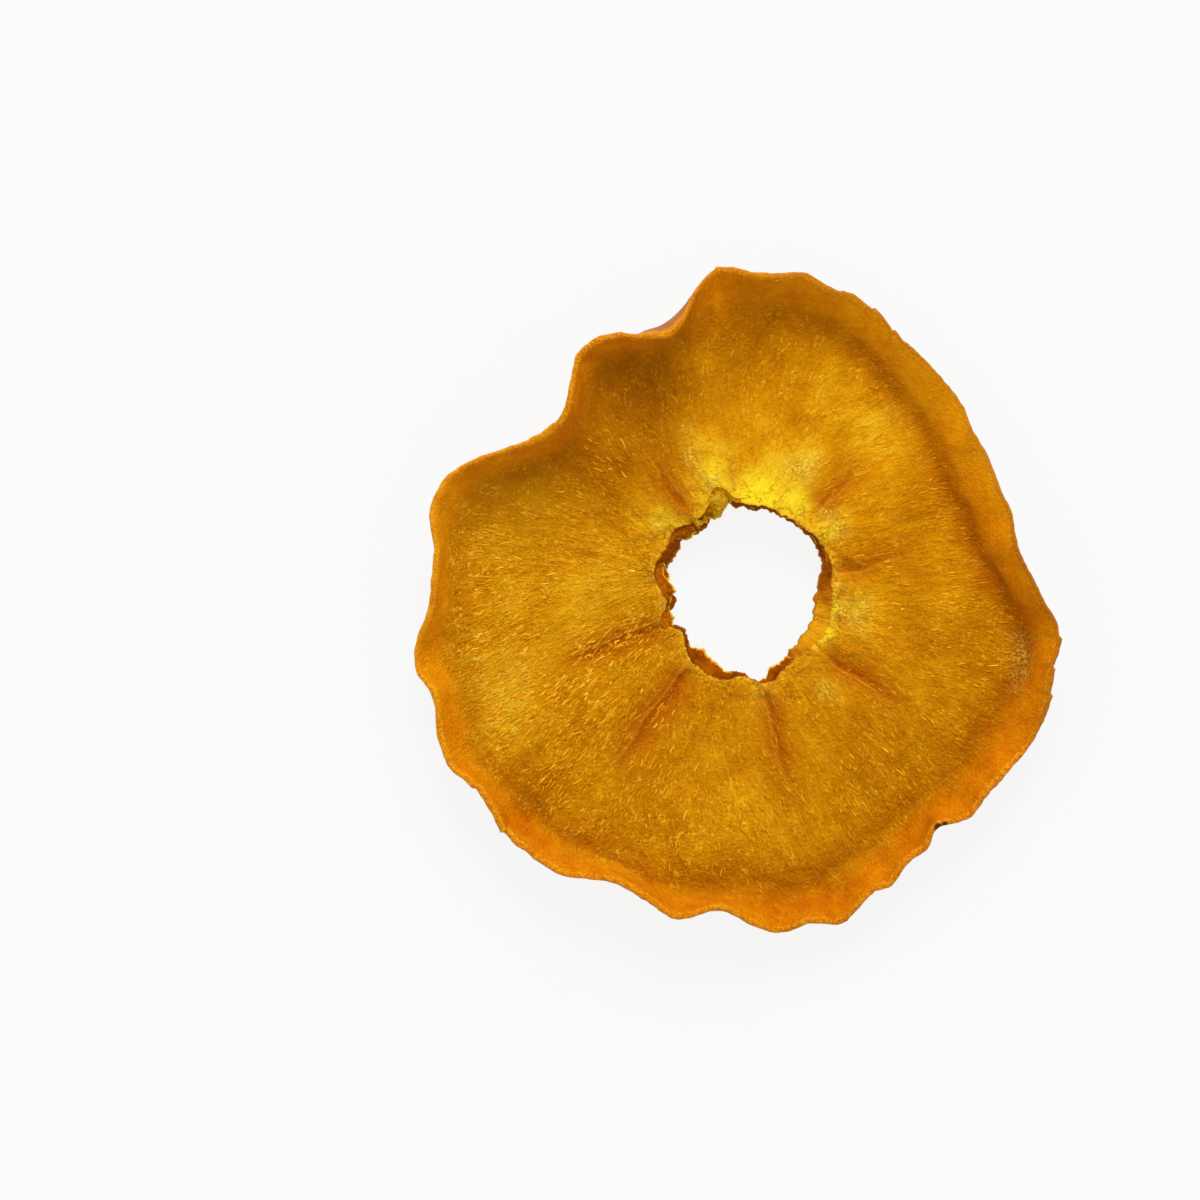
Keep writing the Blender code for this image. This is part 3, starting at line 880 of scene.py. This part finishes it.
def ramp(tree, factor, *colours):
    """A colour from the row of evenly spaced colours as factor goes from 0 to 1."""
    node = tree.nodes.new("ShaderNodeValToRGB")
    stops = node.color_ramp.elements
    for _ in range(len(colours) - 2):
        stops.new(0.5)
    for number, colour in enumerate(colours):
        stops[number].position = number / (len(colours) - 1)
        stops[number].color = paint(*colour)
    plug(tree, node.inputs[0], factor)
    return node.outputs[0]


def noise(tree, vector, scale, detail, rough):
    values = {"Vector": vector, "Scale": scale, "Detail": detail, "Roughness": rough}
    return new_node(tree, "ShaderNodeTexNoise", values).outputs[0]


def new_group(name, given, made):
    """An empty node group that makes numbers of a place and the given numbers, with its two ends."""
    group = bpy.data.node_groups.new(name, "ShaderNodeTree")
    group.interface.new_socket("Place", in_out="INPUT", socket_type="NodeSocketVector")
    for in_out, labels in (("INPUT", given), ("OUTPUT", made)):
        for label in labels:
            group.interface.new_socket(label, in_out=in_out, socket_type="NodeSocketFloat")
    return group, group.nodes.new("NodeGroupInput").outputs, group.nodes.new("NodeGroupOutput")


def use_group(tree, group, **values):
    node = tree.nodes.new("ShaderNodeGroup")
    node.node_tree = group
    return plug_all(tree, node, values)


def place_parts(tree, place):
    """The x, y and z of a place, and its distance from the axis of the core hole."""
    x, y, z = new_node(tree, "ShaderNodeSeparateXYZ", {"Vector": place}).outputs
    return x, y, z, calc(tree, "SQRT", calc(tree, "MULTIPLY_ADD", x, x, times(tree, y, y)))


def streak_group():
    """Noise drawn out along the spokes of the ring.

    The place in plan is turned into a circle of the given number of cells a radian and a length along
    the spoke, so that the pattern closes on itself without a seam.
    """
    group, given, end = new_group("spoke streaks", ("Swirl", "Cells", "Length", "Shift"), ("Streak",))
    x, y, z, radius = place_parts(group, given["Place"])
    angle = calc(group, "ADD", calc(group, "ARCTAN2", y, x), given["Swirl"])
    along = calc(group, "DIVIDE", calc(group, "ADD", radius, z), given["Length"])
    drawn = new_node(group, "ShaderNodeCombineXYZ", {
        "X": times(group, calc(group, "COSINE", angle), given["Cells"]),
        "Y": times(group, calc(group, "SINE", angle), given["Cells"]),
        "Z": calc(group, "ADD", along, given["Shift"]),
    })
    plug_all(group, end, {"Streak": noise(group, drawn.outputs[0], 1.0, 2.0, 0.55)})
    return group


def grain_group():
    """The unevenness of dried fruit at three sizes: broad mottling, patches and fine specks."""
    group, given, end = new_group("fruit grain", (), ("Mottle", "Patch", "Speck"))
    plug_all(group, end, {
        "Mottle": noise(group, given["Place"], 0.16, 3.0, 0.6),
        "Patch": noise(group, given["Place"], 0.5, 4.0, 0.6),
        "Speck": noise(group, given["Place"], 3.4, 3.0, 0.65),
    })
    return group


def ring_place(tree):
    """The place on the object, in millimetres about the core hole."""
    where = new_node(tree, "ShaderNodeTexCoord", {}).outputs["Object"]
    values = {"Vector": where, "Location": (-CORE).tolist(), "Scale": (1 / MM,) * 3}
    return new_node(tree, "ShaderNodeMapping", values).outputs[0]


def new_material(name):
    material = bpy.data.materials.new(name)
    material.use_nodes = True
    return material, material.node_tree, material.node_tree.nodes["Principled BSDF"]


def dress(tree, surface, colour, roughness, shine):
    """Colour and roughness, with a shine that takes on the amber of the flesh."""
    plug_all(tree, surface, {
        "Base Color": colour, "Roughness": roughness, "Specular IOR Level": shine,
        "Specular Tint": (1.0, 0.66, 0.1, 1.0),
    })


def let_light_in(tree, surface, weight, depth):
    """Amber flesh lets red light in furthest and blue light hardly at all."""
    plug_all(tree, surface, {
        "Subsurface Weight": weight, "Subsurface Radius": (1.0, 0.45, 0.08), "Subsurface Scale": depth * MM,
    })


def raise_bumps(tree, surface, height, distance):
    bump = new_node(tree, "ShaderNodeBump", {"Strength": 0.8, "Distance": distance * MM, "Height": height})
    plug(tree, surface.inputs["Normal"], bump.outputs[0])


# Rows of colours from light to dark.
AMBER = ((238, 186, 30), (222, 152, 8), (194, 122, 2), (167, 95, 1), (138, 68, 1))
RIND = ((231, 154, 9), (215, 129, 5), (196, 103, 2), (169, 78, 1))
TORN = ((232, 164, 19), (199, 117, 7), (158, 78, 3), (126, 56, 2))


def slice_material(streaks, grains):
    """Amber flesh with radial fibres, an orange skin, brown torn walls, and a bloom here and there.

    One number, how deep the amber is, sets the flesh's colour: it is the sum of the masks, the streaks
    and the grain, each with its weight. Part of it is painted light and shade: the painted glow, the
    painted shade and the painted highlights of the glints.
    """
    material, tree, surface = new_material("dried persimmon flesh")
    place = ring_place(tree)
    outer = rise(tree, place_parts(tree, place)[3], 14, 21)

    def streak(cells, length, shift):
        node = use_group(tree, streaks, Place=place, Swirl="swirl", Cells=cells, Length=length, Shift=shift)
        return node.outputs[0]

    fine = blend(tree, outer, streak(52.0, 0.8, 3.0), streak(88.0, 0.8, 9.0))
    thin = blend(tree, outer, streak(64.0, 0.55, 31.0), streak(105.0, 0.55, 43.0))
    middling = streak(30.0, 1.7, 57.0)
    broad = streak(16.0, 3.2, 17.0)
    mottle, patch, speck = use_group(tree, grains, Place=place).outputs
    # Tufts, sparkles and glints are painted highlights, strongest where the sheen is.
    tufts = times(tree, rise(tree, noise(tree, place, 0.7, 2.0, 0.5), 0.4, 0.6), "sheen")
    sparkle = times(tree, rise(tree, noise(tree, place, 4.6, 1.0, 0.5), 0.6, 0.7), tufts)
    glint = times(tree, rise(tree, thin, 0.54, 0.63), tufts)
    uneven = calc(tree, "ABSOLUTE", calc(tree, "SUBTRACT", patch, 0.5))
    fissure = times(tree, rise(tree, uneven, 0.022, 0.0), "near")
    dry = times(tree, "bloom", rise(tree, speck, 0.46, 0.53))

    smooth = calc(tree, "MAXIMUM", "near", times(tree, "glow", 0.8))
    smooth = calc(tree, "MAXIMUM", smooth, weigh(tree, 0.5, ("sheen", -0.5)))
    combed = blend(tree, smooth, weigh(tree, 0.0, (broad, 0.45), (middling, 0.32), (fine, 0.3)), 0.54)
    amber = weigh(
        tree, 1.625, (combed, -1.0), (mottle, -0.6), (patch, -0.26), (speck, -0.48), (glint, -0.6),
        ("glow", -0.6), ("shade", 0.5), ("sheen", -0.04),
    )
    flesh = coat(
        tree, ramp(tree, amber, *AMBER),
        # Painted glow: yellow where light comes through the thin flesh.
        (rise(tree, "glow", 0.4, 1.0), 0.9, (255, 226, 36)),
        # Painted shade in the groove along the skin's foot.
        ("foot_shade", 1.0, (171, 86, 1)),
        ("chamber", weigh(tree, 0.5, (patch, 0.9)), (184, 96, 2)),
        # Painted shade along the crease of each chamber.
        ("crease", 0.5, (158, 68, 1)),
        # A painted highlight along the raised thread beside each crease.
        ("thread", 0.4, (223, 149, 33)),
        # Painted highlights: the glints and the sparkles of the fibres.
        (glint, 0.6, (255, 184, 36)),
        (sparkle, 0.6, (255, 190, 44)),
        # Painted shade in the fine cracks by the hole.
        (fissure, 0.75, (164, 96, 6)),
        (times(tree, "torn_edge", rise(tree, speck, 0.42, 0.6)), 0.8, (250, 192, 50)),
        (dry, 0.85, (255, 219, 88)),
    )
    # The skin's colour, with painted shade from the shades and from the groove at its foot, and painted
    # light and shade by side.
    rind = weigh(
        tree, 1.22, (patch, -0.9), (speck, -0.6), (fine, -0.35), ("shade", 0.35), ("skin_light_and_shade", 1.0),
        ("foot_shade", 0.4),
    )
    outside = mix(tree, rise(tree, patch, 0.3, 0.7), paint(154, 86, 34), paint(182, 110, 44))
    skin = coat(
        tree, ramp(tree, rind, *RIND),
        (dry, 0.5, (235, 177, 78)),
        # Painted highlights: sparkles on the skin, and golden glints along the lip.
        (sparkle, 0.5, (240, 172, 36)),
        (times(tree, "lip", rise(tree, speck, 0.44, 0.6)), 0.65, (238, 168, 36)),
        # Painted shade at the lip.
        ("lip_shade", 0.85, (150, 80, 3)),
        ("outside", 1.0, outside),
    )
    # The wall's torn brown, with painted light and shade by side of the hole.
    wall = ramp(tree, weigh(tree, -0.25, ("wall_light_and_shade", 0.8), (patch, 0.8)), *TORN)
    colour = coat(
        tree, flesh,
        ("skin", 1.0, skin),
        # Painted shade in the crease along the skin's foot.
        ("fold", 0.6, (146, 68, 1)),
        # Painted shadow in the fold of the lip.
        (rise(tree, "lip_fold_shadow", 0.3, 0.7), 1.0, (84, 34, 3)),
        ("wall", 1.0, wall),
    )
    dress(tree, surface, colour, weigh(tree, 0.3, (fine, 0.25), (dry, 0.3), ("wall", 0.5)), 0.1)
    let_light_in(tree, surface, 0.28, 0.8)

    ridges = weigh(tree, 0.0, (fine, 0.9), (glint, 0.45), (middling, 0.7), (broad, 0.5))
    ridges = times(tree, ridges, weigh(tree, 0.55, ("sheen", 0.85), ("near", -0.6)))
    ridges = times(tree, ridges, calc(tree, "SUBTRACT", 1.0, "skin"))
    height = weigh(tree, 0.0, (ridges, 1.0), (speck, 1.1), (dry, 1.0), (fissure, -0.5))
    raise_bumps(tree, surface, height, 0.46)
    return material


def fibre_material(grains):
    """Glossy fibres, from the flesh's own amber to a pale cream."""
    material, tree, surface = new_material("dried fibre")
    speck = use_group(tree, grains, Place=ring_place(tree)).outputs[2]
    pale = weigh(tree, -0.12, ("pale", 0.95), (speck, 0.3))
    colour = ramp(tree, pale, (198, 124, 4), (227, 149, 11), (252, 182, 33), (255, 209, 74))
    dress(tree, surface, colour, weigh(tree, 0.25, (speck, 0.3)), 0.3)
    return material


def crumb_material(grains):
    """Dry pale crumbs of flesh."""
    material, tree, surface = new_material("dry crumb")
    speck = use_group(tree, grains, Place=ring_place(tree)).outputs[2]
    pale = weigh(tree, -0.1, ("pale", 0.9), (speck, 0.3))
    colour = ramp(tree, pale, (192, 108, 7), (216, 140, 22), (229, 173, 65))
    dress(tree, surface, colour, 0.6, 0.1)
    raise_bumps(tree, surface, speck, 0.05)
    return material


def membrane_material(grains):
    """Thin dried membrane: amber brown, olive where it is thickest, with a pale torn hem."""
    material, tree, surface = new_material("torn membrane")
    _, patch, speck = use_group(tree, grains, Place=ring_place(tree)).outputs
    tone = weigh(tree, -0.95, (patch, 1.8), (speck, 1.1))
    body = ramp(tree, tone, (180, 96, 6), (148, 70, 4), (112, 48, 2))
    green = ramp(tree, tone, (240, 196, 42), (168, 112, 6), (106, 62, 2))
    hem = times(tree, rise(tree, "hem", 0.8, 0.97), rise(tree, speck, 0.3, 0.5))
    colour = coat(tree, body, ("olive", 1.0, green), (hem, 1.0, (237, 186, 65)))
    dress(tree, surface, colour, weigh(tree, 0.25, (speck, 0.3)), 0.0)
    let_light_in(tree, surface, 0.2, 0.3)
    raise_bumps(tree, surface, weigh(tree, 0.0, (patch, 1.0), (speck, 0.5)), 0.15)
    return material


def floor_material():
    """A pale matt board that also glows, as a light table does, so that shadows stay faint."""
    material, tree, surface = new_material("pale board")
    plug_all(tree, surface, {
        "Base Color": (0.07, 0.07, 0.07, 1.0), "Roughness": 0.9, "Specular IOR Level": 0.0,
        "Emission Color": (1.0, 1.0, 1.0, 1.0), "Emission Strength": 0.878,
    })
    return material


# Stage, light and camera.
def make_floor():
    mesh = bpy.data.meshes.new("board")
    mesh.from_pydata([(-3, -3, 0), (3, -3, 0), (3, 3, 0), (-3, 3, 0)], [], [(0, 1, 2, 3)])
    mesh.materials.append(floor_material())
    board = bpy.data.objects.new("board", mesh)
    bpy.context.scene.collection.objects.link(board)


def add_softbox(name, place, size, watts):
    """A square area light that faces the slice."""
    light = bpy.data.lights.new(name, "AREA")
    light.size = size
    light.energy = watts
    box = bpy.data.objects.new(name, light)
    box.location = place
    box.rotation_euler = (-Vector(place)).to_track_quat("-Z", "Y").to_euler()
    bpy.context.scene.collection.objects.link(box)


def set_world():
    """Soft light from all round, dimmer overhead. The camera sees it as a plain pale wall."""
    world = bpy.data.worlds.new("studio")
    bpy.context.scene.world = world
    world.use_nodes = True
    tree = world.node_tree
    where = new_node(tree, "ShaderNodeTexCoord", {}).outputs["Generated"]
    height = new_node(tree, "ShaderNodeSeparateXYZ", {"Vector": where}).outputs[2]
    soft = mix(tree, rise(tree, height, 0.5, 0.98), (1.0, 1.0, 1.0, 1.0), (0.18, 0.18, 0.18, 1.0))
    seen = new_node(tree, "ShaderNodeLightPath", {}).outputs["Is Camera Ray"]
    colour = mix(tree, seen, soft, (0.94, 0.94, 0.94, 1.0))
    plug(tree, tree.nodes["Background"].inputs["Color"], colour)


# The photograph's frame: 120 mm wide at the height of the lip, centred left of the slice.
FRAME_WIDTH = 120.0
FRAME_CENTRE = (-13.6, 0.0)
LIP_HEIGHT = 6.0
CAMERA_DISTANCE = 600.0
SENSOR_WIDTH = 36.0


def make_camera():
    lens = bpy.data.cameras.new("camera")
    lens.sensor_width = SENSOR_WIDTH
    lens.lens = SENSOR_WIDTH * CAMERA_DISTANCE / FRAME_WIDTH
    camera = bpy.data.objects.new("camera", lens)
    camera.location = (FRAME_CENTRE[0] * MM, FRAME_CENTRE[1] * MM, (LIP_HEIGHT + CAMERA_DISTANCE) * MM)
    bpy.context.scene.collection.objects.link(camera)
    bpy.context.scene.camera = camera


# Everything together.
grains = grain_group()
points, masks = slice_surface()
slice_faces = grid_faces(*points.shape[:2], closed=True).tolist()
slice_piece = make_piece("slice_surface", points, slice_faces, slice_material(streak_group(), grains))
store_masks(slice_piece, masks)
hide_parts("slice")
fibre_piece(fibre_material(grains))
shred_piece(membrane_material(grains))
crumb_piece(crumb_material(grains))

make_floor()
add_softbox("window", (0.02, 0.7, 0.7), 0.5, 8.8)
set_world()
make_camera()
bpy.context.scene.view_settings.view_transform = "Standard"
